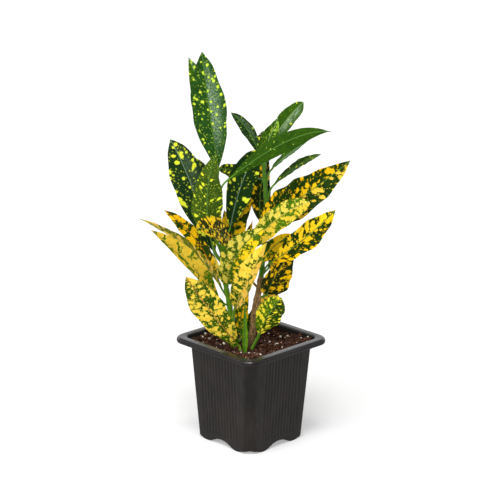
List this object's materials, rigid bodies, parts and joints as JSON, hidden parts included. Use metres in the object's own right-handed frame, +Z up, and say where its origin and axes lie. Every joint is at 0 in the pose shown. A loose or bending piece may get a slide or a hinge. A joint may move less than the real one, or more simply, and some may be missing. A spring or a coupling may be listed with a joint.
{
  "type": "potted plant",
  "caption": "Young croton with yellow-spotted leathery leaves on slender stems, standing in a square ribbed plastic nursery pot of bark soil.",
  "frame": {"origin": "middle of the pot's base, on the plane it stands on", "axes": "+Z up along the plant; the pot's sides lie along X and Y, and the corner between +X and -Y faces the viewer of the picture"},
  "size_m": [0.1847, 0.1769, 0.3507],
  "materials": {
    "pot": "satin moulded charcoal plastic",
    "soil": "damp peat and bark crumbs",
    "leaf": "glossy waxy leaf, green with yellow blotches",
    "shoot": "satin young leaf"
  },
  "bodies": {
    "root": {"pot": "pot", "soil": "soil", "stem_left": "leaf", "stem_right": "leaf", "shoot": "shoot"}
  },
  "joints": []
}
